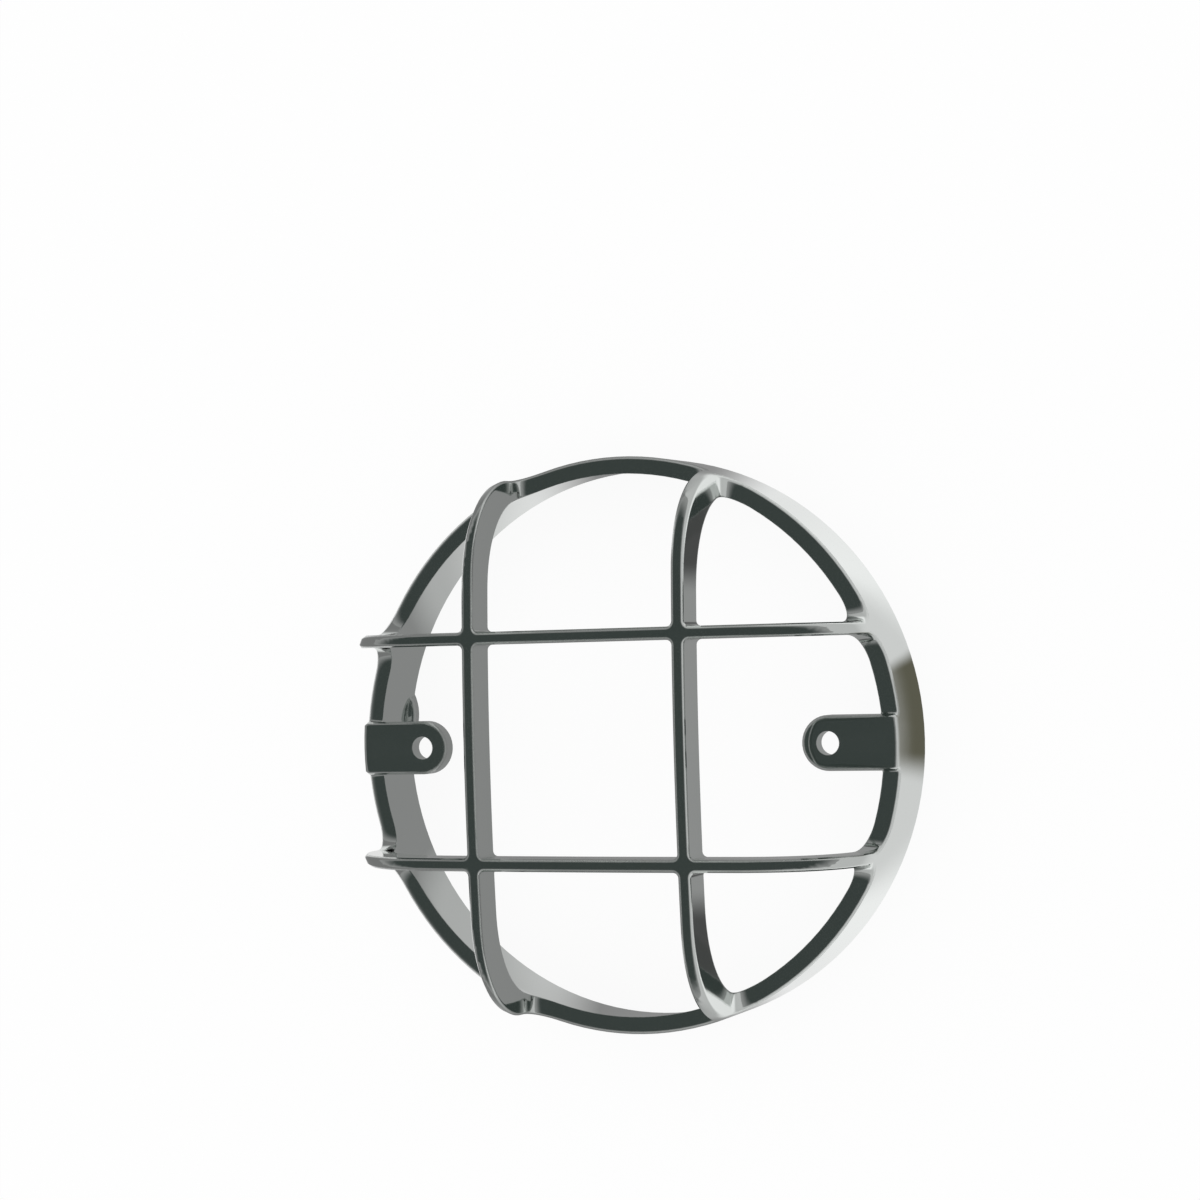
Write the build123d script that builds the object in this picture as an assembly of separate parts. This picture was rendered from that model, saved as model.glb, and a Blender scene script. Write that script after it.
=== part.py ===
"""Light stone guard: a round one-piece cast guard that screws over a lamp.

Frame: millimetres, +Z up. The back rim stands on z = 0 and the cage arches up
around the axis x = y = 0. The two screw ears lie on the X axis.
"""
import math
import os

from build123d import *

# Rim
outer_r = 66.0            # outside of the skirt
lip_w = 4.0               # width of the front lip between the cage legs
skirt_h = 18.5            # back rim to the face of the lip
wall_back = 2.6           # skirt wall at the back rim, thinner than the lip

# Cage
crown_rise = 30.0         # height of the crown over the lip at the axis
crown_sphere_r = 600.0    # slow bow of the crown
bar_depth = 8.3           # depth of a bar at the crown
shoulder_r = 22.0         # outer bend of the legs
inner_shoulder_r = 20.0   # inner bend of the legs
bar_offset = 25.2         # bar centre line from the axis, both ways
bar_w = 2.9               # width of a bar seen from the front
corner_r = 1.2            # rounded corners of the openings at the crossings
root_r = 6.0              # blend of each leg into the lip
root_clear = 0.3          # the blend ends at least this far below the outer bend

# Ears
ear_x = 50.0              # hole centre from the axis
ear_w = 12.4              # width of an ear, its tip is a half circle
ear_proud = 2.8           # ear face over the face of the lip
ear_t = 3.7               # thickness of an ear
ear_root_r = 0.8          # blend of an ear into the lip
ear_end_r = 1.9           # rounding of the ear over the edge of the skirt
hole_d = 5.3              # clear hole for an M5 screw

# Locating pad inside the back rim, beside the left ear
pad_r = 11.0              # plan radius of the pad
pad_reach = 1.6           # how far it stands in from the wall
pad_t = 3.4               # height of the pad
pad_y = 6.6               # its centre above the ear's centre line

edge_c = 0.8              # eased edges of lip, bars and ears towards the front
foot_edge_c = 0.3         # eased edges of the back rim

# Derived sizes
lip_r = outer_r - lip_w
back_r = outer_r - wall_back
lip_z = skirt_h
apex_z = lip_z + crown_rise
sphere_z = apex_z - crown_sphere_r
inner_sphere_r = crown_sphere_r - bar_depth

# Outer bend, tangent to the skirt and to the crown
out_c_x = outer_r - shoulder_r
out_c_z = sphere_z + math.sqrt((crown_sphere_r - shoulder_r) ** 2 - out_c_x ** 2)
k = crown_sphere_r / (crown_sphere_r - shoulder_r)
out_t = (out_c_x * k, sphere_z + (out_c_z - sphere_z) * k)
leg_root_r = min(root_r, out_c_z - lip_z - root_clear)
mid_a = math.atan2(out_t[1] - out_c_z, out_t[0] - out_c_x) / 2
out_mid = (out_c_x + shoulder_r * math.cos(mid_a), out_c_z + shoulder_r * math.sin(mid_a))

# Inner wall, drafted from the back rim to the lip, and the inner bend tangent to it
draft = math.atan2(back_r - lip_r, skirt_h)
d_x = -math.sin(draft)
d_z = math.cos(draft)
a_x = back_r - inner_shoulder_r * math.cos(draft)
a_z = -inner_shoulder_r * math.sin(draft) - sphere_z
b_d = a_x * d_x + a_z * d_z
reach = (inner_sphere_r - inner_shoulder_r) ** 2 - a_x ** 2 - a_z ** 2
t = -b_d + math.sqrt(b_d ** 2 + reach)
in_c_x = a_x + t * d_x
in_c_z = a_z + sphere_z + t * d_z
in_w = (back_r + t * d_x, t * d_z)
k_in = inner_sphere_r / (inner_sphere_r - inner_shoulder_r)
in_t = (in_c_x * k_in, sphere_z + (in_c_z - sphere_z) * k_in)
a0 = math.atan2(in_w[1] - in_c_z, in_w[0] - in_c_x)
a1 = math.atan2(in_t[1] - in_c_z, in_t[0] - in_c_x)
mid_b = (a0 + a1) / 2
in_mid = (in_c_x + inner_shoulder_r * math.cos(mid_b), in_c_z + inner_shoulder_r * math.sin(mid_b))


def on_sphere(radius, x):
    """Profile point of the bowed crown at distance x from the axis."""
    return (x, sphere_z + math.sqrt(radius ** 2 - x ** 2))


# Shell of revolution: skirt, bend and crown in one wall
with BuildPart() as shell:
    with BuildSketch(Plane.XZ):
        with BuildLine():
            ThreePointArc((0, apex_z), on_sphere(crown_sphere_r, out_t[0] / 2), out_t)
            ThreePointArc(out_t, out_mid, (outer_r, out_c_z))
            Line((outer_r, out_c_z), (outer_r, 0))
            Line((outer_r, 0), (back_r, 0))
            Line((back_r, 0), in_w)
            ThreePointArc(in_w, in_mid, in_t)
            ThreePointArc(in_t, on_sphere(inner_sphere_r, in_t[0] / 2), (0, apex_z - bar_depth))
            Line((0, apex_z - bar_depth), (0, apex_z))
        back_face = make_face()
        chamfer(back_face.vertices().group_by(Axis.Y)[0], foot_edge_c)
    revolve(axis=Axis.Z)

# The nine openings: one in the middle, four beside it, four at the corners
inner_edge = bar_offset - bar_w / 2
outer_edge = bar_offset + bar_w / 2
far = outer_r + 10
span = far - outer_edge
mid = (far + outer_edge) / 2

with BuildPart() as openings:
    with BuildSketch(Plane.XY.offset(lip_z)):
        RectangleRounded(2 * inner_edge, 2 * inner_edge, corner_r)
        with Locations((mid, 0), (-mid, 0)):
            RectangleRounded(span, 2 * inner_edge, corner_r)
        with Locations((0, mid), (0, -mid)):
            RectangleRounded(2 * inner_edge, span, corner_r)
        with Locations((mid, mid), (-mid, mid), (-mid, -mid), (mid, -mid)):
            RectangleRounded(span, span, corner_r)
    extrude(amount=crown_rise + 10)

# Feet: each leg flares into the lip with a round blend on both sides
with BuildPart() as feet:
    with BuildSketch(Plane.XZ.offset(-far)):
        with Locations((bar_offset, lip_z), (-bar_offset, lip_z)):
            Rectangle(bar_w + 2 * leg_root_r, leg_root_r, align=(Align.CENTER, Align.MIN))
        for side in (-1, 1):
            for flank in (-1, 1):
                with Locations((side * bar_offset + flank * (bar_w / 2 + leg_root_r), lip_z + leg_root_r)):
                    Circle(leg_root_r, mode=Mode.SUBTRACT)
    extrude(amount=far - inner_edge * 2)

foot = feet.part
all_feet = foot + Rot(0, 0, 90) * foot + Rot(0, 0, 180) * foot + Rot(0, 0, 270) * foot
cage = shell.part - openings.part + (all_feet & shell.part)

# One ear: a strap with a half round tip, standing proud of the lip
ear_z0 = lip_z + ear_proud - ear_t
with BuildPart() as strap:
    with BuildSketch(Plane.XY.offset(ear_z0)):
        with Locations(((ear_x + lip_r + 1) / 2, 0)):
            Rectangle(lip_r + 1 - ear_x, ear_w)
        with Locations((ear_x, 0)):
            Circle(ear_w / 2)
    extrude(amount=ear_t)

# Its root stands on the full width of the lip, flares into it and is rounded over the skirt
rim_up = Pos(0, 0, lip_z) * (Cylinder(outer_r, 4 * ear_t) - Cylinder(lip_r, 4 * ear_t))
with BuildPart() as root:
    with BuildSketch(Plane.YZ.offset(ear_x)):
        with Locations((0, lip_z)):
            Rectangle(ear_w, ear_proud, align=(Align.CENTER, Align.MIN))
            Rectangle(ear_w + 2 * ear_root_r, ear_root_r, align=(Align.CENTER, Align.MIN))
        for side in (-1, 1):
            with Locations((side * (ear_w / 2 + ear_root_r), lip_z + ear_root_r)):
                Circle(ear_root_r, mode=Mode.SUBTRACT)
    extrude(amount=far - ear_x)
ear_root = root.part & rim_up
over = []
for e in ear_root.edges().filter_by(GeomType.CIRCLE):
    p = e.position_at(0.5)
    if abs(p.Z - lip_z - ear_proud) < 0.01 and math.hypot(p.X, p.Y) > outer_r - 0.01:
        over.append(e)
ear_root = ear_root.fillet(ear_end_r, over)
ear = strap.part + ear_root
ears = ear + mirror(ear, Plane.YZ)

# Pad inside the back rim
pad_wall = back_r - pad_t / 2 * math.tan(draft)
pad_turn = 180 - math.degrees(math.asin(pad_y / pad_wall))
pad = Rot(0, 0, pad_turn) * Pos(pad_wall - pad_reach + pad_r, 0, pad_t / 2) * Cylinder(pad_r, pad_t)
pad = pad & (Pos(0, 0, pad_t / 2) * Cylinder((outer_r + back_r) / 2, pad_t))

guard = cage + ears + pad


def on_outside(p):
    """Whether a point lies on the outside of the shell: its skirt, bend or crown."""
    r = math.hypot(p.X, p.Y)
    if r < out_t[0]:
        gap = math.hypot(r, p.Z - sphere_z) - crown_sphere_r
    elif p.Z > out_c_z:
        gap = math.hypot(r - out_c_x, p.Z - out_c_z) - shoulder_r
    else:
        gap = r - outer_r
    return abs(gap) < 0.01


def on_ear(p):
    """Whether a point lies on the face of an ear, on its round end or on its outer side."""
    r = math.hypot(p.X, p.Y)
    top = lip_z + ear_proud
    end_x = outer_r - ear_end_r
    if r < end_x + 0.01:
        return abs(p.Z - top) < 0.01
    if p.Z < top - ear_end_r:
        return abs(r - outer_r) < 0.01 and p.Z > lip_z
    return abs(math.hypot(r - end_x, p.Z - top + ear_end_r) - ear_end_r) < 0.01


def front_edges(solid):
    """Sharp edges round the openings and ears that face the front."""
    picked = []
    for e in solid.edges():
        points = [e.position_at(u) for u in (0.02, 0.1, 0.35, 0.6, 0.9, 0.98)]
        if min(p.Z for p in points) < lip_z - 0.05:
            continue
        if not all(on_outside(p) or on_ear(p) for p in points):
            continue
        radii = [math.hypot(p.X, p.Y) for p in points]
        heights = [p.Z for p in points]
        level = max(heights) - min(heights) < 0.001
        about_axis = max(radii) - min(radii) < 0.001
        if level and about_axis and heights[0] > lip_z + 0.05:
            continue
        picked.append(e)
    return picked


guard = guard.chamfer(edge_c, None, front_edges(guard))

# Screw holes
for side in (-1, 1):
    guard = guard - Pos(side * ear_x, 0, lip_z) * Cylinder(hole_d / 2, 4 * ear_t)

os.makedirs("parts", exist_ok=True)
export_step(guard, "parts/stone_guard.step")
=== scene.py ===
"""Light stone guard: one chrome-plated casting on a pale studio floor."""
import math

import bpy
import bmesh
from mathutils import Matrix, Vector


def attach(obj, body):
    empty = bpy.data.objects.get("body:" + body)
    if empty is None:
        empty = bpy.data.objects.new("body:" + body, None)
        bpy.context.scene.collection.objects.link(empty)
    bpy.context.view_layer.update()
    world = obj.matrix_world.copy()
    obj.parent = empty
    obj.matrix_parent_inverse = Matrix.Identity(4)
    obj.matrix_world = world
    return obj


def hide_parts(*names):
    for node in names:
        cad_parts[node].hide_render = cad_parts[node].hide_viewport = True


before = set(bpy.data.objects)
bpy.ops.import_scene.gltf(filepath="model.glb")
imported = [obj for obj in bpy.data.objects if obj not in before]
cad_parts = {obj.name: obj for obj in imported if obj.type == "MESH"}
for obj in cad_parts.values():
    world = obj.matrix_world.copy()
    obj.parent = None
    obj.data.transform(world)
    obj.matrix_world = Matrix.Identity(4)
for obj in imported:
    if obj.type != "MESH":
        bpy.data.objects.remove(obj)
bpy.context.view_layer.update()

scene = bpy.context.scene
scene.view_settings.view_transform = "Standard"

# Stone guard: one zinc casting, polished and chrome plated all over. The casting's
# front edges are eased and its inner ones broken, and polishing and plating run them
# together, so the shine rolls over every edge.
front_crown = 0.5
patch_merge = 1e-6
fold_low = math.radians(25.0)
fold_high = math.radians(65.0)
cad_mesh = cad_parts["stone_guard"].data
shape = bmesh.new()
shape.from_mesh(cad_mesh)
shape.faces.ensure_lookup_table()
true_normal = shape.loops.layers.float_vector.new("true_normal")
patch = shape.faces.layers.int.new("patch")
for face in shape.faces:
    for loop, corner in zip(face.loops, cad_mesh.polygons[face.index].loop_indices):
        loop[true_normal] = cad_mesh.corner_normals[corner].vector


def number_patches():
    """Numbers the separate patches of the loose mesh and returns the area of each."""
    areas = {}
    for first in shape.faces:
        if first[patch]:
            continue
        number = len(areas) + 1
        areas[number] = 0.0
        first[patch] = number
        waiting = [first]
        while waiting:
            face = waiting.pop()
            areas[number] += face.calc_area()
            for edge in face.edges:
                for other in edge.link_faces:
                    if not other[patch]:
                        other[patch] = number
                        waiting.append(other)
    return areas


patch_area = number_patches()
bmesh.ops.remove_doubles(shape, verts=shape.verts, dist=patch_merge)
eased = set()
for edge in shape.edges:
    one, two = edge.link_faces
    if one[patch] != two[patch] and fold_low < edge.calc_face_angle() < fold_high:
        eased.add(min(one[patch], two[patch], key=patch_area.get))


def crowned(loop):
    """Shine of a main face at one corner: a front face leans to the eased edge beside it."""
    own = loop[true_normal].normalized()
    beside = Vector()
    for near in loop.vert.link_loops:
        if near.face[patch] in eased:
            beside += near.face.normal
    if beside.length > 0.0:
        own += front_crown * max(own.z, 0.0) * (beside.normalized() - own)
    return own.normalized()


def rolled_normal(loop):
    """Shine of one corner: an eased edge takes that of the main face that it runs up to."""
    if loop.face[patch] not in eased:
        return crowned(loop)
    mains = [crowned(near) for near in loop.vert.link_loops if near.face[patch] not in eased]
    if not mains:
        return loop.vert.normal
    return max(mains, key=loop.face.normal.dot)


shape.normal_update()
shine = []
for face in shape.faces:
    face.smooth = True
    for loop in face.loops:
        shine.append(rolled_normal(loop))
guard_mesh = bpy.data.meshes.new("guard")
shape.to_mesh(guard_mesh)
shape.free()
guard_mesh.normals_split_custom_set(shine)
guard = bpy.data.objects.new("guard_casting", guard_mesh)
scene.collection.objects.link(guard)
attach(guard, "root")
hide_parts("stone_guard")
chrome = bpy.data.materials.new("plated_chrome")
chrome.use_nodes = True
tree = chrome.node_tree
shader = tree.nodes["Principled BSDF"]
shader.inputs["Metallic"].default_value = 1.0
shader.inputs["Base Color"].default_value = (0.80, 0.83, 0.81, 1.0)
shader.inputs["Roughness"].default_value = 0.07
place = tree.nodes.new("ShaderNodeTexCoord")
wave = tree.nodes.new("ShaderNodeTexNoise")
wave.inputs["Scale"].default_value = 70.0
wave.inputs["Detail"].default_value = 2.0
bump = tree.nodes.new("ShaderNodeBump")
bump.inputs["Strength"].default_value = 0.05
bump.inputs["Distance"].default_value = 0.002
edge_wear = tree.nodes.new("ShaderNodeBevel")
edge_wear.samples = 8
edge_wear.inputs["Radius"].default_value = 0.0005
tree.links.new(place.outputs["Object"], wave.inputs["Vector"])
tree.links.new(wave.outputs["Fac"], bump.inputs["Height"])
tree.links.new(edge_wear.outputs["Normal"], bump.inputs["Normal"])
tree.links.new(bump.outputs["Normal"], shader.inputs["Normal"])
guard_mesh.materials.append(chrome)

# Studio floor: pale and plain. The camera sees it near white with a faint shadow of
# the guard. The chrome mirrors painted greys laid out by place: painted shade in mid
# grey under the cage, painted light on the right with a painted olive reflection by the
# ear, and painted light from the right further off.
floor_half = 3.0
camera_white = 0.93
# Painted reflection: olive tone of a dark thing, mirrored by the chrome beside the right ear.
painted_olive_reflection = (0.12, 0.115, 0.085, 1.0)
white = (1.0, 1.0, 1.0, 1.0)
floor_mesh = bpy.data.meshes.new("floor")
floor_shape = bmesh.new()
bmesh.ops.create_grid(floor_shape, x_segments=1, y_segments=1, size=floor_half)
floor_shape.to_mesh(floor_mesh)
floor_shape.free()
floor = bpy.data.objects.new("floor", floor_mesh)
scene.collection.objects.link(floor)
paper = bpy.data.materials.new("white_paper")
paper.use_nodes = True
tree = paper.node_tree
matt = tree.nodes["Principled BSDF"]
matt.inputs["Base Color"].default_value = (0.9, 0.9, 0.9, 1.0)
matt.inputs["Roughness"].default_value = 0.9
spot = tree.nodes.new("ShaderNodeTexCoord")
parts = tree.nodes.new("ShaderNodeSeparateXYZ")
away = tree.nodes.new("ShaderNodeVectorMath")
away.operation = "LENGTH"
aside = tree.nodes.new("ShaderNodeMath")
aside.operation = "ABSOLUTE"
tree.links.new(spot.outputs["Object"], parts.inputs[0])
tree.links.new(spot.outputs["Object"], away.inputs[0])
tree.links.new(parts.outputs["Y"], aside.inputs[0])
to_right = parts.outputs["X"]
to_top = parts.outputs["Y"]
from_ears = aside.outputs[0]
from_centre = away.outputs["Value"]


def floor_ramp(source, stops):
    """Grey tone of the floor along one measure; each stop is a place in metres and a tone."""
    low = stops[0][0]
    high = stops[-1][0]
    span = tree.nodes.new("ShaderNodeMapRange")
    span.inputs["From Min"].default_value = low
    span.inputs["From Max"].default_value = high
    tree.links.new(source, span.inputs["Value"])
    ramp = tree.nodes.new("ShaderNodeValToRGB")
    ramp.color_ramp.interpolation = "EASE"
    while len(ramp.color_ramp.elements) < len(stops):
        ramp.color_ramp.elements.new(0.5)
    for element, (where, tone) in zip(ramp.color_ramp.elements, stops):
        element.position = (where - low) / (high - low)
        element.color = (tone, tone, tone, 1.0)
    tree.links.new(span.outputs["Result"], ramp.inputs["Fac"])
    return ramp.outputs["Color"]


def floor_mix(kind, first, second, share=1.0):
    """Two tones of the floor put together; second may be a colour and share a tone."""
    node = tree.nodes.new("ShaderNodeMix")
    node.data_type = "RGBA"
    node.blend_type = kind
    if isinstance(share, float):
        node.inputs["Factor"].default_value = share
    else:
        tree.links.new(share, node.inputs["Factor"])
    tree.links.new(first, node.inputs["A"])
    if isinstance(second, tuple):
        node.inputs["B"].default_value = second
    else:
        tree.links.new(second, node.inputs["B"])
    return node.outputs["Result"]


def larger(first, second):
    """The larger of two shares."""
    node = tree.nodes.new("ShaderNodeMath")
    node.operation = "MAXIMUM"
    tree.links.new(first, node.inputs[0])
    tree.links.new(second, node.inputs[1])
    return node.outputs[0]


# Painted shade: mid grey floor under the cage, a stand-in for the guard's shadow.
painted_under_shade = floor_ramp(to_right, [(-0.055, 0.27), (-0.03, 0.25), (0.0, 0.27), (0.05, 0.31)])
# Painted light by the inner wall on the left half, growing away from the ears and a little
# weaker low down.
wall_light = floor_ramp(from_ears, [(0.012, 0.0), (0.02, 0.22), (0.034, 0.47), (0.058, 0.8)])
by_wall = floor_ramp(from_centre, [(0.05, 0.0), (0.058, 1.0)])
left_half = floor_ramp(to_right, [(-0.03, 1.0), (-0.002, 0.0)])
low_side = floor_ramp(to_top, [(-0.05, 0.72), (-0.034, 1.0)])
for limit in (by_wall, left_half, low_side):
    wall_light = floor_mix("MULTIPLY", wall_light, limit)
inside = floor_mix("LIGHTEN", painted_under_shade, wall_light)
# Painted shade: on the right half the inside goes darker away from the ears, towards the top
# and bottom.
painted_corner_shade = floor_ramp(from_ears, [(0.034, 1.0), (0.042, 0.25)])
right_half = floor_ramp(to_right, [(0.02, 0.0), (0.038, 1.0)])
inside = floor_mix("MIX", inside, floor_mix("MULTIPLY", inside, painted_corner_shade), right_half)

# Painted light: outside the rim the floor is dark on the left and bright on the right.
left_outside = [(-0.06, 0.8), (-0.04, 0.22)]
right_outside = [(0.016, 0.28), (0.034, 0.85), (0.055, 0.95), (0.064, 0.7)]
outside = floor_ramp(to_right, left_outside + right_outside)
# Painted reflection: the olive patch lies just outside the rim by the right ear.
by_ear = floor_ramp(to_top, [(-0.011, 0.0), (-0.003, 1.0), (0.017, 1.0), (0.021, 0.0)])
near_rim = floor_ramp(from_centre, [(0.068, 1.0), (0.075, 0.6)])
right_end = floor_ramp(to_right, [(0.0, 0.0), (0.05, 1.0)])
painted_reflection_share = floor_mix("MULTIPLY", floor_mix("MULTIPLY", by_ear, near_rim), right_end)
outside = floor_mix("MIX", outside, painted_olive_reflection, painted_reflection_share)

past_rim = floor_ramp(from_centre, [(0.0635, 0.0), (0.066, 1.0)])
# Painted light from the right: further off, the floor goes from dark on the left to paler on
# the right.
painted_far_light = floor_ramp(to_right, [(-0.12, 0.2), (0.1, 0.55)])
far_off = floor_ramp(from_centre, [(0.077, 0.0), (0.1, 1.0)])
# All the painted shade and light on the floor together, shown only to mirror and transmission
# rays.
painted_floor_light = floor_mix("MIX", floor_mix("MIX", inside, outside, past_rim), painted_far_light, far_off)

rays = tree.nodes.new("ShaderNodeLightPath")
glow = tree.nodes.new("ShaderNodeEmission")
glow.inputs["Strength"].default_value = 1.0
seen_tone = floor_mix("MIX", painted_floor_light, white, rays.outputs["Is Camera Ray"])
tree.links.new(seen_tone, glow.inputs["Color"])
camera_share = tree.nodes.new("ShaderNodeMath")
camera_share.operation = "MULTIPLY"
camera_share.inputs[1].default_value = camera_white
tree.links.new(rays.outputs["Is Camera Ray"], camera_share.inputs[0])
mirror_share = larger(rays.outputs["Is Glossy Ray"], rays.outputs["Is Transmission Ray"])
mix = tree.nodes.new("ShaderNodeMixShader")
tree.links.new(larger(camera_share.outputs[0], mirror_share), mix.inputs["Fac"])
tree.links.new(matt.outputs[0], mix.inputs[1])
tree.links.new(glow.outputs[0], mix.inputs[2])
tree.links.new(mix.outputs[0], tree.nodes["Material Output"].inputs["Surface"])
floor_mesh.materials.append(paper)

# Room: white where the camera sees it and in the light that it throws. The chrome
# mirrors it as the dark side of a studio, mid grey at the horizon and dark overhead.
horizon = (0.3, 0.3, 0.3, 1.0)
overhead = (0.045, 0.055, 0.052, 1.0)
dark_from = 0.5
room = bpy.data.worlds.new("room")
scene.world = room
room.use_nodes = True
tree = room.node_tree
white_room = tree.nodes["Background"]
white_room.inputs["Color"].default_value = (1.0, 1.0, 1.0, 1.0)
white_room.inputs["Strength"].default_value = 1.0
dark_room = tree.nodes.new("ShaderNodeBackground")
direction = tree.nodes.new("ShaderNodeTexCoord")
height = tree.nodes.new("ShaderNodeSeparateXYZ")
fall = tree.nodes.new("ShaderNodeValToRGB")
fall.color_ramp.interpolation = "EASE"
fall.color_ramp.elements[0].color = horizon
fall.color_ramp.elements[1].color = overhead
fall.color_ramp.elements[1].position = dark_from
rays = tree.nodes.new("ShaderNodeLightPath")
mix = tree.nodes.new("ShaderNodeMixShader")
tree.links.new(direction.outputs["Generated"], height.inputs[0])
tree.links.new(height.outputs["Z"], fall.inputs["Fac"])
tree.links.new(fall.outputs["Color"], dark_room.inputs["Color"])
tree.links.new(rays.outputs["Is Glossy Ray"], mix.inputs["Fac"])
tree.links.new(white_room.outputs[0], mix.inputs[1])
tree.links.new(dark_room.outputs[0], mix.inputs[2])
tree.links.new(mix.outputs[0], tree.nodes["World Output"].inputs["Surface"])

# Camera: the photograph's angle, looking down into the cage from the right. It aims at
# the cage's centre, and the aim is then turned so that the guard sits where it does in
# the photograph's frame.
cage_centre = Vector((0.0, 0.0, 0.0185))
camera_turn = 0.3974
camera_rise = 0.0364
camera_roll = 0.0275
camera_distance = 0.66
frame_side = 1200.0
focal_pixels = 2886.3
centre_right = 23.5
centre_down = 145.1
lens_data = bpy.data.cameras.new("camera")
lens_data.sensor_width = 36.0
lens_data.lens = lens_data.sensor_width * focal_pixels / frame_side
camera = bpy.data.objects.new("camera", lens_data)
scene.collection.objects.link(camera)
scene.camera = camera
back = Vector((
    math.sin(camera_turn) * math.cos(camera_rise),
    math.sin(camera_rise),
    math.cos(camera_turn) * math.cos(camera_rise),
))
right = Vector((0.0, 1.0, 0.0)).cross(back).normalized()
up = back.cross(right)
straight = Matrix((right, up, back))
rolled = Matrix.Rotation(camera_roll, 3, "Z")
aim = Vector((0.0, 0.0, -1.0)).rotation_difference(
    Vector((centre_right, -centre_down, -focal_pixels))
).to_matrix()
turn = (aim @ rolled @ straight).transposed()
camera.matrix_world = Matrix.Translation(cage_centre + back * camera_distance) @ turn.to_4x4()
